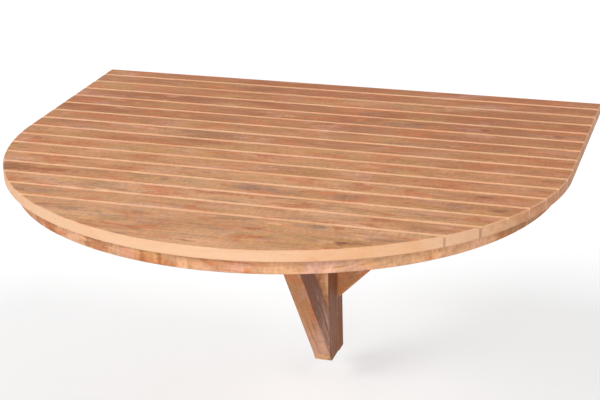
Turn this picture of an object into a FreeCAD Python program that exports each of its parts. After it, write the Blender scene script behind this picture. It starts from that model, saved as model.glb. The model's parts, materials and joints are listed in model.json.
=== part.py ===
import FreeCAD, Part

import math
import os

from FreeCAD import Vector

# A slatted half-oval table leaf hinged to a narrow shelf on a wall frame, with a
# gate under it that swings flat to the wall.
# Millimetres. X runs along the wall, -Y points out into the room, +Z is up. The origin
# is on the wall plane, at the middle of the wall rail's row of fixing holes.

# ---- table top -------------------------------------------------------------------
TABLE_WIDTH = 670.0
TABLE_DEPTH = 545.0
CORNER_RADIUS = 288.0          # of the deck, and of the hoop under it
STRAIGHT_SIDE = 242.0          # straight run of each side, measured from the wall
DECK_T = 13.0                  # thickness of the slats
UNDER_T = 16.0                 # thickness of the hoop, ledger and battens under them
RIM_EASE = 1.0                 # chamfered rim of the deck and hoop

SLAT_COUNT = 15                # a wider front board follows the last slat
SHELF_SLATS = 2                # slats that stay on the wall
FIRST_GROOVE = 24.0            # middle of the first groove, out from the wall
SLAT_PITCH = 31.0
GROOVE_W = 5.0                 # each groove at the top, where the slats are cut back
SEAM = 1.5                     # open gap between two slats, under the groove
WIDE_SEAMS = {SHELF_SLATS: 5.0}    # by slat: where the leaf folds
SLAT_EASE = 0.5                # least cut-back of a long edge

# ---- under frame of the leaf -----------------------------------------------------
HOOP_WIDTH = 40.0
HOOP_SIDE_INSET = 14.0
HOOP_FRONT_INSET = 6.0
HOOP_JOINTS = (-35.3, -15.8, -1.5, 20.6, 39.6)   # degrees from the front, + to the right
HOOP_SEGMENTS = ("hoop_left_corner", "hoop_left_front", "hoop_centre_left",
                 "hoop_centre_right", "hoop_right_front", "hoop_right_corner")
BATTEN_W = 40.0
BATTEN_X = 170.0
CENTRE_BATTEN_W = 50.0

# ---- wall frame ------------------------------------------------------------------
RAIL_LENGTH = 560.0
RAIL_H = 60.0
FRAME_T = 22.0                 # every wall frame member, out from the wall
POST_W = 38.0
BRACE_W = 40.0
BRACE_FOOT_DROP = 300.0        # lower edge of each brace at the post, below the top
POST_DROP = 382.0              # foot of the wall post, below the top
FRAME_ROUND = 1.5

# ---- gate ------------------------------------------------------------------------
GATE_T = 24.0
GATE_RIGHT = -7.0              # X of the gate's and the wall post's right face
GATE_POST_D = 40.0
GATE_TOP_DROP = 37.5
GATE_RAIL_H = 30.0
GATE_FOOT_DROP = 380.0
STRUT_TOE_DROP = 367.0         # the strut's front face meets the post this far down
STRUT_ANGLE = 34.3             # degrees from the vertical
STRUT_W = 37.0
BEARER_T = 8.0
BEARER_BACK = 215.0
BEARER_FRONT = 285.0
STOP_H = 13.0
STOP_CLEARANCE = 0.4

# ---- hinges, screws and dowels ---------------------------------------------------
PLATE_T = 1.5
PLATE_W = 18.0
PLATE_CORNER = 3.0
KNUCKLE_R = 3.0
KNUCKLE_GAP = 0.4              # along the pin, between knuckles
PIN_R = 1.5
PIN_CLEARANCE = 0.05
PIN_END = 1.0                  # each pin end past its knuckles
KNUCKLE_REACH = 3.5            # from the pin to the leaf's underside or the gate's side
LEAF_HINGE_L = 80.0
LEAF_HINGE_X = 215.0
GATE_HINGE_L = 60.0
GATE_HINGE_DROPS = {"upper": 130.0, "lower": 332.0}
PLATE_GAP = 0.5                # between the two plates of a closed gate hinge
MORTISE_SPACE = 0.5

DECK_SCREW = {"head_r": 4.0, "shank_r": 2.0, "head_h": 2.5, "length": 25.0}
HINGE_SCREW = {"head_r": 3.0, "shank_r": 1.5, "head_h": 1.5, "length": 13.5}
BEARER_SCREW = {"head_r": 4.0, "shank_r": 2.0, "head_h": 2.5, "length": 20.0}
STOP_SCREW = {"head_r": 4.0, "shank_r": 2.0, "head_h": 2.5, "length": 32.0}
DOWEL_R = 3.5
DOWEL_L = 30.0                 # across the hoop's joints
SHORT_DOWEL_L = 16.0           # everywhere else
HOOP_DOWEL_INSET = 30.0        # from the hoop's outer edge, clear of the deck screws
RAIL_DOWEL_INSET = 10.5        # from the back rail's back edge
STRUT_DOWEL_INSETS = (18.0, 31.5)    # from the strut's front face, at the top rail
WALL_HOLE_R = 3.0
WALL_HEAD_R = 5.0
WALL_HEAD_DEPTH = 5.0
RAIL_HOLES_X = (-240.0, -80.0, 80.0, 240.0)
POST_HOLE_DROPS = (170.0, 230.0)
POST_HOLE_X = -38.0

# ---- worked out from the above ---------------------------------------------------
RIGHT, BACK, UP = Vector(1, 0, 0), Vector(0, 1, 0), Vector(0, 0, 1)
UNDER_Z = RAIL_H / 2                       # underside of the hoop, top of the rail
DECK_Z = UNDER_Z + UNDER_T
TOP_Z = DECK_Z + DECK_T
GATE_LEFT = GATE_RIGHT - GATE_T
GATE_X = (GATE_LEFT + GATE_RIGHT) / 2
POST_LEFT = GATE_RIGHT - POST_W
GATE_PIN_X = GATE_LEFT - KNUCKLE_REACH
GATE_PIN_Y = -FRAME_T - PLATE_T - PLATE_GAP / 2
GATE_BACK = GATE_PIN_Y - PLATE_GAP / 2 - PLATE_T
GATE_POST_FRONT = GATE_BACK - GATE_POST_D
GATE_TOP = TOP_Z - GATE_TOP_DROP
LEAF_PIN_Y = -FIRST_GROOVE - (SHELF_SLATS - 1) * SLAT_PITCH
LEAF_PIN_Z = UNDER_Z - KNUCKLE_REACH
LEDGER_FRONT = LEAF_PIN_Y + WIDE_SEAMS[SHELF_SLATS] / 2
LEAF_BACK = LEAF_PIN_Y - WIDE_SEAMS[SHELF_SLATS] / 2
BACK_RAIL_FRONT = LEAF_BACK - HOOP_WIDTH
FAR = 900.0                                # beyond every piece
TINY = 1e-6                                # lengths and slopes this small count as none


def block(x, y, z):
    """Box between two values of X, of Y and of Z, each pair given as a range."""
    low = Vector(min(x), min(y), min(z))
    return Part.makeBox(abs(x[1] - x[0]), abs(y[1] - y[0]), abs(z[1] - z[0]), low)


def prism(points, along):
    """Solid made by moving the flat polygon through points by the vector along."""
    return Part.Face(Part.makePolygon(points + points[:1])).extrude(along)


def eased(solid, direction, radius):
    """Round the straight edges of solid that lie along direction."""
    long_edges = []
    for edge in solid.Edges:
        if edge.Curve.TypeId == "Part::GeomLine":
            if abs(abs(edge.tangentAt(edge.FirstParameter).dot(direction)) - 1) < TINY:
                long_edges.append(edge)
    return solid.makeFillet(radius, long_edges)


def front_arc(half_width, depth, corner_radius):
    """Centre Y and radius of the front arc that meets both corner arcs smoothly."""
    corner_x = half_width - corner_radius
    reach = depth - corner_radius
    centre_y = (corner_x ** 2 + STRAIGHT_SIDE ** 2 - reach ** 2) / (2 * (reach - STRAIGHT_SIDE))
    return centre_y, depth + centre_y


def half_oval(half_width, depth, corner_radius, z, height):
    """Plate that is straight at the wall and sides, with round corners and front."""
    centre_y, front_radius = front_arc(half_width, depth, corner_radius)
    corner_x = half_width - corner_radius
    turn = math.atan2(-STRAIGHT_SIDE - centre_y, corner_x)
    mid = Vector(corner_x + corner_radius * math.cos(turn / 2),
                 -STRAIGHT_SIDE + corner_radius * math.sin(turn / 2), z)
    meet = Vector(front_radius * math.cos(turn), centre_y + front_radius * math.sin(turn), z)
    mirror = lambda p: Vector(-p.x, p.y, p.z)
    wall = Vector(half_width, 0, z)
    side = Vector(half_width, -STRAIGHT_SIDE, z)
    curves = [Part.LineSegment(mirror(wall), wall), Part.LineSegment(wall, side),
              Part.Arc(side, mid, meet), Part.Arc(meet, Vector(0, -depth, z), mirror(meet)),
              Part.Arc(mirror(meet), mirror(mid), mirror(side)),
              Part.LineSegment(mirror(side), mirror(wall))]
    return Part.Face(Part.Wire([c.toShape() for c in curves])).extrude(UP * height)


def ease_rim(plate, levels):
    """Chamfer the side and front edges of a half oval plate at the given heights."""
    rim = []
    for edge in plate.Edges:
        heights = {round(v.Z, 3) for v in edge.Vertexes}
        at_wall = all(abs(v.Y) < TINY for v in edge.Vertexes)
        if len(heights) == 1 and heights.pop() in levels and not at_wall:
            rim.append(edge)
    return plate.makeChamfer(RIM_EASE, rim)


def screw(head, direction, size):
    """Countersunk wood screw; head is the middle of its flat top."""
    neck = head + direction * size["head_h"]
    cone = Part.makeCone(size["head_r"], size["shank_r"], size["head_h"], head, direction)
    shank = Part.makeCylinder(size["shank_r"], size["length"] - size["head_h"], neck, direction)
    return cone.fuse(shank)


def dowel(middle, direction, length):
    """Round wooden dowel, half of it each side of middle."""
    return Part.makeCylinder(DOWEL_R, length, middle - direction * (length / 2), direction)


# ---- deck and hoop ---------------------------------------------------------------
HALF = TABLE_WIDTH / 2
HOOP_HALF = HALF - HOOP_SIDE_INSET
HOOP_DEPTH = TABLE_DEPTH - HOOP_FRONT_INSET
HOOP_CENTRE_Y, HOOP_FRONT_R = front_arc(HOOP_HALF, HOOP_DEPTH, CORNER_RADIUS)


def groove(number):
    """Middle Y and seam width of the groove in front of a slat, counted from the wall."""
    middle = -FIRST_GROOVE - (number - 1) * SLAT_PITCH
    return middle, WIDE_SEAMS.get(number, SEAM)


def groove_back(number):
    """Y and cut-back of the edge behind a groove."""
    middle, seam = groove(number)
    return middle + seam / 2, max((GROOVE_W - seam) / 2, SLAT_EASE)


def groove_front(number):
    """Y and cut-back of the edge in front of a groove; number 0 is the wall."""
    if number == 0:
        return 0.0, 0.0
    middle, seam = groove(number)
    return middle - seam / 2, max((GROOVE_W - seam) / 2, SLAT_EASE)


def slat_middle(number):
    """Y of the middle of a slat."""
    return (groove_front(number - 1)[0] + groove_back(number)[0]) / 2


def bar(back, back_cut, front, front_cut):
    """Long bar across the deck, with its upper long edges cut back at 45 degrees."""
    profile = [(back, DECK_Z), (front, DECK_Z), (front, TOP_Z - front_cut),
               (front + front_cut, TOP_Z), (back - back_cut, TOP_Z), (back, TOP_Z - back_cut)]
    corners = [spot for spot, following in zip(profile, profile[1:] + profile[:1])
               if spot != following]
    return prism([Vector(-FAR, y, z) for y, z in corners], RIGHT * 2 * FAR)


def deck_pieces():
    """The slats and the wide front board, cut to one outline with an eased rim."""
    outline = ease_rim(half_oval(HALF, TABLE_DEPTH, CORNER_RADIUS, DECK_Z, DECK_T),
                       (DECK_Z, TOP_Z))
    pieces = {}
    for number in range(1, SLAT_COUNT + 1):
        back, back_cut = groove_front(number - 1)
        front, front_cut = groove_back(number)
        pieces["slat_%02d" % number] = bar(back, back_cut, front, front_cut).common(outline)
    board_back, board_cut = groove_front(SLAT_COUNT)
    pieces["front_board"] = bar(board_back, board_cut, -FAR, 0.0).common(outline)
    return pieces


def hoop_ray(angle, distance):
    """Point on the line from the hoop's centre at angle, at the hoop's underside."""
    turn = math.radians(angle)
    return Vector(distance * math.sin(turn), HOOP_CENTRE_Y - distance * math.cos(turn), UNDER_Z)


def corner_region(angle):
    """The ground between the joint at angle and the end of that side's straight run."""
    side = math.copysign(FAR, angle)
    inner = hoop_ray(angle, HOOP_WIDTH * 2)
    points = [inner, hoop_ray(angle, FAR), Vector(side, -FAR, UNDER_Z),
              Vector(side, -STRAIGHT_SIDE, UNDER_Z), Vector(inner.x, -STRAIGHT_SIDE, UNDER_Z)]
    return prism(points, UP * UNDER_T)


def hoop_pieces():
    """The hoop under the leaf's rim, in the segments it is glued up from."""
    outer = ease_rim(half_oval(HOOP_HALF, HOOP_DEPTH, CORNER_RADIUS, UNDER_Z, UNDER_T), (UNDER_Z,))
    inner = half_oval(HOOP_HALF - HOOP_WIDTH, HOOP_DEPTH - HOOP_WIDTH, CORNER_RADIUS - HOOP_WIDTH,
                      UNDER_Z, UNDER_T)
    hoop = outer.cut(inner)
    levels = (UNDER_Z, DECK_Z)
    pieces = {
        "side_rail_left": hoop.common(block((-FAR, 0), (-STRAIGHT_SIDE, LEAF_BACK), levels)),
        "side_rail_right": hoop.common(block((0, FAR), (-STRAIGHT_SIDE, LEAF_BACK), levels)),
        HOOP_SEGMENTS[0]: hoop.common(corner_region(HOOP_JOINTS[0])),
        HOOP_SEGMENTS[-1]: hoop.common(corner_region(HOOP_JOINTS[-1])),
    }
    for name, start, end in zip(HOOP_SEGMENTS[1:-1], HOOP_JOINTS, HOOP_JOINTS[1:]):
        wedge = prism([hoop_ray(0, 0), hoop_ray(start, FAR), hoop_ray(end, FAR)], UP * UNDER_T)
        pieces[name] = hoop.common(wedge)
    return pieces


def hoop_reach(x):
    """Y of the hoop's inner edge at a distance x from the middle."""
    inner_radius = HOOP_FRONT_R - HOOP_WIDTH
    return HOOP_CENTRE_Y - math.sqrt(inner_radius ** 2 - x ** 2)


def batten(x, width):
    """Flat batten under the slats, from the back rail to the hoop."""
    inside = half_oval(HOOP_HALF - HOOP_WIDTH, HOOP_DEPTH - HOOP_WIDTH,
                       CORNER_RADIUS - HOOP_WIDTH, UNDER_Z, UNDER_T)
    bar = block((x - width / 2, x + width / 2), (BACK_RAIL_FRONT, -FAR), (UNDER_Z, DECK_Z))
    return bar.common(inside)


def leaf_frame():
    """Back rail, three battens, and the bearer and stop that meet the gate."""
    rail_end = HOOP_HALF - HOOP_WIDTH
    levels = (UNDER_Z, DECK_Z)
    bearer_x = (GATE_X - CENTRE_BATTEN_W / 2, GATE_X + CENTRE_BATTEN_W / 2)
    bearer_y = (-BEARER_BACK, -BEARER_FRONT)
    bearer_z = (UNDER_Z - BEARER_T, UNDER_Z)
    stop_x = (GATE_RIGHT + STOP_CLEARANCE, bearer_x[1])
    stop_z = (bearer_z[0] - STOP_H, bearer_z[0])
    return {
        "back_rail": block((-rail_end, rail_end), (LEAF_BACK, BACK_RAIL_FRONT), levels),
        "batten_left": batten(-BATTEN_X, BATTEN_W),
        "batten_centre": batten(GATE_X, CENTRE_BATTEN_W),
        "batten_right": batten(BATTEN_X, BATTEN_W),
        "gate_bearer": eased(block(bearer_x, bearer_y, bearer_z), BACK, FRAME_ROUND),
        "gate_stop": block(stop_x, bearer_y, stop_z),
    }


def side_screw_x(y):
    """X of the middle of the hoop's width, at a slat's Y."""
    if y >= -STRAIGHT_SIDE:
        return HOOP_HALF - HOOP_WIDTH / 2
    radius = CORNER_RADIUS - HOOP_WIDTH / 2
    fall = -STRAIGHT_SIDE - y
    corner_x = HOOP_HALF - CORNER_RADIUS
    on_corner = corner_x + math.sqrt(max(radius ** 2 - fall ** 2, 0))
    front_radius = HOOP_FRONT_R - HOOP_WIDTH / 2
    on_front = math.sqrt(max(front_radius ** 2 - (HOOP_CENTRE_Y - y) ** 2, 0))
    turn = math.atan2(-STRAIGHT_SIDE - HOOP_CENTRE_Y, corner_x)
    meet_y = HOOP_CENTRE_Y + front_radius * math.sin(turn)
    return on_corner if y > meet_y else on_front


def deck_screw(x, y):
    """Screw driven up through the under frame into a slat."""
    return screw(Vector(x, y, UNDER_Z), UP, DECK_SCREW)


def shelf_screws():
    """Screws that hold the two shelf slats to the ledger."""
    xs = (side_screw_x(0), -side_screw_x(0), BATTEN_X, -BATTEN_X, GATE_X)
    return [deck_screw(x, slat_middle(number))
            for number in range(1, SHELF_SLATS + 1) for x in xs]


def leaf_screws():
    """Screws that hold the leaf's slats and front board to the hoop and battens."""
    screws = []
    for number in range(SHELF_SLATS + 1, SLAT_COUNT + 1):
        y = slat_middle(number)
        side = side_screw_x(y)
        screws += [deck_screw(side, y), deck_screw(-side, y), deck_screw(GATE_X, y)]
        if y - SLAT_PITCH / 2 > hoop_reach(BATTEN_X + BATTEN_W / 2):
            screws += [deck_screw(BATTEN_X, y), deck_screw(-BATTEN_X, y)]
    middle = HOOP_FRONT_R - HOOP_WIDTH / 2
    for start, end in zip(HOOP_JOINTS, HOOP_JOINTS[1:]):
        spot = hoop_ray((start + end) / 2, middle)
        screws.append(deck_screw(spot.x, spot.y))
    return screws


# ---- wall frame ------------------------------------------------------------------
def wall_holes():
    """Fixing holes through the rail and the wall post, with sunk seats for the heads."""
    spots = [(x, 0.0) for x in RAIL_HOLES_X]
    spots += [(POST_HOLE_X, TOP_Z - drop) for drop in POST_HOLE_DROPS]
    tools = []
    for x, z in spots:
        front = Vector(x, -FRAME_T, z)
        tools.append(Part.makeCylinder(WALL_HOLE_R, FRAME_T, front, BACK))
        tools.append(Part.makeCylinder(WALL_HEAD_R, WALL_HEAD_DEPTH, front, BACK))
    return tools


def knee_brace(post_face, side):
    """Brace at 45 degrees from the wall post's face up to the rail; side is +1 or -1."""
    foot = TOP_Z - BRACE_FOOT_DROP
    rise = -RAIL_H / 2 - foot
    across = BRACE_W * math.sqrt(2)
    points = [Vector(post_face, -FRAME_T, foot),
              Vector(post_face + side * rise, -FRAME_T, -RAIL_H / 2),
              Vector(post_face + side * (rise - across), -FRAME_T, -RAIL_H / 2),
              Vector(post_face, -FRAME_T, foot + across)]
    slope = Vector(side, 0, 1).normalize()
    return eased(prism(points, BACK * FRAME_T), slope, FRAME_ROUND)


def wall_frame():
    """Rail, post and braces that are fixed to the wall, and the shelf's ledger."""
    rail = block((-RAIL_LENGTH / 2, RAIL_LENGTH / 2), (-FRAME_T, 0), (-RAIL_H / 2, RAIL_H / 2))
    post = block((POST_LEFT, GATE_RIGHT), (-FRAME_T, 0), (TOP_Z - POST_DROP, -RAIL_H / 2))
    post = eased(post, UP, FRAME_ROUND)
    for drop in GATE_HINGE_DROPS.values():
        half = GATE_HINGE_L / 2 + PIN_END + MORTISE_SPACE
        seat = (GATE_PIN_X - KNUCKLE_R - MORTISE_SPACE, GATE_LEFT)
        depth = (-FRAME_T - MORTISE_SPACE, GATE_PIN_Y + KNUCKLE_R + MORTISE_SPACE)
        post = post.cut(block(seat, depth, (TOP_Z - drop - half, TOP_Z - drop + half)))
    ledger = block((-HOOP_HALF, HOOP_HALF), (0, LEDGER_FRONT), (UNDER_Z, DECK_Z))
    return {
        "wall_rail": eased(rail, RIGHT, FRAME_ROUND),
        "wall_post": post,
        "knee_brace_left": knee_brace(POST_LEFT, -1),
        "knee_brace_right": knee_brace(GATE_RIGHT, 1),
        "shelf_ledger": eased(ledger, RIGHT, FRAME_ROUND),
    }


def frame_dowels():
    """Dowels from rail to ledger, rail to post, and through both ends of each brace."""
    middle_y = -FRAME_T / 2
    spread = BRACE_W / 3
    foot = TOP_Z - BRACE_FOOT_DROP
    across = BRACE_W * math.sqrt(2)
    foot_z = foot + across / 2
    head_run = -RAIL_H / 2 - foot - across / 2
    spots = [(Vector(x, middle_y, UNDER_Z), UP) for x in RAIL_HOLES_X]
    spots += [(Vector(x, middle_y, -RAIL_H / 2), UP) for x in (POST_LEFT + DOWEL_L / 2, GATE_X)]
    for face, side in ((POST_LEFT, -1), (GATE_RIGHT, 1)):
        for shift in (-spread, spread):
            spots.append((Vector(face, middle_y, foot_z + shift), RIGHT))
            spots.append((Vector(face + side * (head_run + shift), middle_y, -RAIL_H / 2), UP))
    return [dowel(spot, direction, SHORT_DOWEL_L) for spot, direction in spots]


# ---- gate ------------------------------------------------------------------------
STRUT_RUN = math.tan(math.radians(STRUT_ANGLE))     # mm outwards for each mm up
STRUT_ACROSS = STRUT_W / math.cos(math.radians(STRUT_ANGLE))
STRUT_TOE_Z = TOP_Z - STRUT_TOE_DROP
STRUT_HEEL_Z = STRUT_TOE_Z + STRUT_ACROSS / STRUT_RUN
GATE_RAIL_Z = GATE_TOP - GATE_RAIL_H


def strut_front(z):
    """Y of the strut's front face at height z."""
    return GATE_POST_FRONT - (z - STRUT_TOE_Z) * STRUT_RUN


def gate_member(profile, direction):
    """Gate piece from its side view, a list of (Y, Z), with its long edges eased."""
    points = [Vector(GATE_LEFT, y, z) for y, z in profile]
    return eased(prism(points, RIGHT * GATE_T), direction, FRAME_ROUND)


def gate_frame():
    """Post, top rail and strut of the gate; the strut's front face runs to the foot."""
    foot = TOP_Z - GATE_FOOT_DROP
    post = [(GATE_BACK, GATE_TOP), (GATE_POST_FRONT, GATE_TOP), (GATE_POST_FRONT, STRUT_TOE_Z),
            (strut_front(foot), foot), (GATE_BACK, foot)]
    rail = [(GATE_POST_FRONT, GATE_TOP), (strut_front(GATE_TOP), GATE_TOP),
            (strut_front(GATE_RAIL_Z), GATE_RAIL_Z), (GATE_POST_FRONT, GATE_RAIL_Z)]
    strut = [(GATE_POST_FRONT, STRUT_TOE_Z), (strut_front(GATE_RAIL_Z), GATE_RAIL_Z),
             (strut_front(GATE_RAIL_Z) + STRUT_ACROSS, GATE_RAIL_Z), (GATE_POST_FRONT, STRUT_HEEL_Z)]
    slope = Vector(0, -STRUT_RUN, 1).normalize()
    return {
        "gate_post": gate_member(post, UP),
        "gate_top_rail": gate_member(rail, BACK),
        "gate_strut": gate_member(strut, slope),
    }


def gate_dowels():
    """Dowels at the gate's three joints."""
    rail_quarter = GATE_RAIL_H / 4
    strut_quarter = (STRUT_HEEL_Z - STRUT_TOE_Z) / 4
    heights = (GATE_TOP - rail_quarter, GATE_RAIL_Z + rail_quarter,
               STRUT_HEEL_Z - strut_quarter, STRUT_HEEL_Z - 2 * strut_quarter)
    spots = [(Vector(GATE_X, GATE_POST_FRONT, z), BACK) for z in heights]
    spots += [(Vector(GATE_X, strut_front(GATE_RAIL_Z) + inset, GATE_RAIL_Z), UP)
              for inset in STRUT_DOWEL_INSETS]
    return [dowel(spot, direction, SHORT_DOWEL_L) for spot, direction in spots]


# ---- hinges ----------------------------------------------------------------------
def hinge_plate(length, outer_face, spans, bore):
    """Hinge plate about the X axis: its flat reaches to +Y with its outer face at +Z."""
    flat_z = (outer_face - PLATE_T, outer_face)
    far_y = KNUCKLE_REACH + PLATE_W
    plate = block((-length / 2, length / 2), (KNUCKLE_REACH, far_y), flat_z)
    corners = [edge for edge in plate.Edges
               if all(abs(v.Y - far_y) < TINY for v in edge.Vertexes)
               and edge.Length < PLATE_T + TINY]
    plate = plate.makeFillet(PLATE_CORNER, corners)
    for start, end in spans:
        barrel = Part.makeCylinder(KNUCKLE_R, end - start, Vector(start, 0, 0), RIGHT)
        plate = plate.fuse(block((start, end), (0, KNUCKLE_REACH), flat_z)).fuse(barrel)
    hole = Part.makeCylinder(bore, length + 2 * PIN_END, Vector(-length / 2 - PIN_END, 0, 0), RIGHT)
    return plate.cut(hole).removeSplitter()


def hinge_parts(length, outer_face):
    """Fixed plate, moving plate, pin and one plate's screws, before they are placed."""
    split = length / 6
    fixed_spans = ((-length / 2, -split), (split, length / 2))
    moving_spans = ((-split + KNUCKLE_GAP, split - KNUCKLE_GAP),)
    fixed = hinge_plate(length, outer_face, fixed_spans, PIN_R)
    moving = hinge_plate(length, outer_face, moving_spans, PIN_R + PIN_CLEARANCE)
    pin = Part.makeCylinder(PIN_R, length + 2 * PIN_END, Vector(-length / 2 - PIN_END, 0, 0), RIGHT)
    screw_y = KNUCKLE_REACH + PLATE_W / 2
    heads = [Vector(x, screw_y, outer_face - PLATE_T) for x in (-length / 3, 0, length / 3)]
    screws = Part.makeCompound([screw(head, UP, HINGE_SCREW) for head in heads])
    return fixed, moving, pin, screws


def placed(shape, turns, move):
    """A copy of shape after turns, each an axis and an angle, and then a move."""
    copy = shape.copy()
    for axis, angle in turns:
        copy.rotate(Vector(), axis, angle)
    copy.translate(move)
    return copy


def all_hinges(parts, screws):
    """Add both leaf hinges and both gate hinges to parts, and their screws to screws."""
    fixed, moving, pin, fasteners = hinge_parts(LEAF_HINGE_L, KNUCKLE_REACH)
    about_face = [(UP, 180)]
    for side, x in (("left", -LEAF_HINGE_X), ("right", LEAF_HINGE_X)):
        spot = Vector(x, LEAF_PIN_Y, LEAF_PIN_Z)
        parts["leaf_hinge_%s_fixed_plate" % side] = placed(fixed, [], spot)
        parts["leaf_hinge_%s_moving_plate" % side] = placed(moving, about_face, spot)
        parts["leaf_hinge_%s_pin" % side] = placed(pin, [], spot)
        screws["fixed"].append(placed(fasteners, [], spot))
        screws["leaf"].append(placed(fasteners, about_face, spot))
    fixed, moving, pin, fasteners = hinge_parts(GATE_HINGE_L, PLATE_T + PLATE_GAP / 2)
    upright = (Vector(1, 1, 1), -120)
    for level, drop in GATE_HINGE_DROPS.items():
        spot = Vector(GATE_PIN_X, GATE_PIN_Y, TOP_Z - drop)
        closed = [(BACK, 180), upright]
        parts["gate_hinge_%s_fixed_plate" % level] = placed(fixed, [upright], spot)
        parts["gate_hinge_%s_moving_plate" % level] = placed(moving, closed, spot)
        parts["gate_hinge_%s_pin" % level] = placed(pin, [upright], spot)
        screws["fixed"].append(placed(fasteners, [upright], spot))
        screws["gate"].append(placed(fasteners, closed, spot))


def bearer_screws():
    """Screws that hold the gate bearer and, through it, the gate stop."""
    low = UNDER_Z - BEARER_T
    margin = (BEARER_FRONT - BEARER_BACK) / 4
    stop_x = (GATE_RIGHT + GATE_X + CENTRE_BATTEN_W / 2) / 2
    ys = (-BEARER_BACK - margin, -BEARER_FRONT + margin)
    screws = [screw(Vector(GATE_LEFT - DOWEL_R, y, low), UP, BEARER_SCREW) for y in ys]
    return screws + [screw(Vector(stop_x, y, low - STOP_H), UP, STOP_SCREW) for y in ys]


def hoop_dowels():
    """Dowels across the hoop's joints, and from the side rails into the back rail."""
    middle_z = UNDER_Z + UNDER_T / 2
    dowels = []
    for angle in HOOP_JOINTS:
        spot = hoop_ray(angle, HOOP_FRONT_R - HOOP_DOWEL_INSET)
        turn = math.radians(angle)
        tangent = Vector(math.cos(turn), math.sin(turn), 0)
        dowels.append(dowel(Vector(spot.x, spot.y, middle_z), tangent, DOWEL_L))
    for side in (-1, 1):
        corner_x = side * (HOOP_HALF - HOOP_DOWEL_INSET)
        inner_x = side * (HOOP_HALF - HOOP_WIDTH)
        dowels.append(dowel(Vector(corner_x, -STRAIGHT_SIDE, middle_z), BACK, DOWEL_L))
        rail_spot = Vector(inner_x, LEAF_BACK - RAIL_DOWEL_INSET, middle_z)
        dowels.append(dowel(rail_spot, RIGHT, DOWEL_L))
    return dowels


# ---- assembly --------------------------------------------------------------------
def bored(shape, tools):
    """The shape with the room of every tool that reaches it cut away."""
    near = [tool for tool in tools if tool.BoundBox.intersect(shape.BoundBox)]
    return shape.cut(near) if near else shape


def build():
    """Every node of the table, by name."""
    parts = {}
    for pieces in (wall_frame(), deck_pieces(), hoop_pieces(), leaf_frame(), gate_frame()):
        parts.update(pieces)
    hinge_screws = {"fixed": [], "leaf": [], "gate": []}
    all_hinges(parts, hinge_screws)
    fasteners = {
        "frame_dowels": frame_dowels(),
        "shelf_screws": shelf_screws(),
        "leaf_screws": leaf_screws(),
        "hoop_dowels": hoop_dowels(),
        "bearer_screws": bearer_screws(),
        "gate_dowels": gate_dowels(),
        "fixed_hinge_screws": hinge_screws["fixed"],
        "leaf_hinge_screws": hinge_screws["leaf"],
        "gate_hinge_screws": hinge_screws["gate"],
    }
    solids = [solid for group in fasteners.values() for shape in group for solid in shape.Solids]
    tools = solids + wall_holes()
    parts = {name: bored(shape, tools) for name, shape in parts.items()}
    for name, group in fasteners.items():
        parts[name] = Part.makeCompound([solid for shape in group for solid in shape.Solids])
    return parts


def main():
    os.makedirs("parts", exist_ok=True)
    for name, shape in sorted(build().items()):
        whole = shape.Solids[0] if len(shape.Solids) == 1 else shape
        if not whole.isValid():
            raise ValueError("%s is not a valid solid" % name)
        whole.exportStep("parts/%s.step" % name)
        print("%-34s %2d solid(s) %9.0f mm3" % (name, len(shape.Solids), shape.Volume))


main()
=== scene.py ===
import json
import math
import random

import bmesh
import bpy
from bpy.props import FloatProperty, FloatVectorProperty, IntProperty, PointerProperty
from mathutils import Matrix, Vector

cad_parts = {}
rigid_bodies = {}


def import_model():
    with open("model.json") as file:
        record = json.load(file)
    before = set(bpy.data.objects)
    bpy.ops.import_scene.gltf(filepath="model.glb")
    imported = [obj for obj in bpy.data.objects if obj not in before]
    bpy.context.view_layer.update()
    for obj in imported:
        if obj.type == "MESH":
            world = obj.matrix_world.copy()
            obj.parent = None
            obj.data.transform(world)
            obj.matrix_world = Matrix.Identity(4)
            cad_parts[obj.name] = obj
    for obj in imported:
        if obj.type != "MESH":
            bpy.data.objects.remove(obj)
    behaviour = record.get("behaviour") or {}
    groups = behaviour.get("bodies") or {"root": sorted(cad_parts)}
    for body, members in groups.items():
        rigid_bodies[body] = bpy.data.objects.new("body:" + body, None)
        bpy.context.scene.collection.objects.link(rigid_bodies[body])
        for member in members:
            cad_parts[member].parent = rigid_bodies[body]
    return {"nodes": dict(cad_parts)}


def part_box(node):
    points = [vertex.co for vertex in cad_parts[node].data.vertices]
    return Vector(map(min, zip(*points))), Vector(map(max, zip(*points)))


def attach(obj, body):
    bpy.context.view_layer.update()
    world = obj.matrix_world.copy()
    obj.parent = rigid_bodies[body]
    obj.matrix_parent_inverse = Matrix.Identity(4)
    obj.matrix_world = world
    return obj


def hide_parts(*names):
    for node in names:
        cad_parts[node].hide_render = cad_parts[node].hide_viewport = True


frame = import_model()

bl_info = {
    "name": "Drop Leaf Table Finisher",
    "version": (1, 0, 0),
    "blender": (4, 5, 0),
    "location": "3D View > Sidebar > Drop Leaf",
    "description": "Oiled teak, brass hinges and steel screws for a slatted wall table",
    "category": "Object",
}

# ---- what the frame says ---------------------------------------------------------
NODES = frame["nodes"]
SLATS = sorted(name for name in NODES if name.startswith("slat_"))
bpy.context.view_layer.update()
# The point that the pieces of the hoop stand round.
HOOP_CENTRE = Vector((0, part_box("front_board")[1].y / 2, 0))

SCREW_NODES = {"leaf_screws": "leaf", "shelf_screws": "wall_frame", "bearer_screws": "leaf",
               "fixed_hinge_screws": "wall_frame", "leaf_hinge_screws": "leaf",
               "gate_hinge_screws": "gate"}
PIN_NODES = ("leaf_hinge_left_pin", "leaf_hinge_right_pin", "gate_hinge_upper_pin",
             "gate_hinge_lower_pin")

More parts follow.
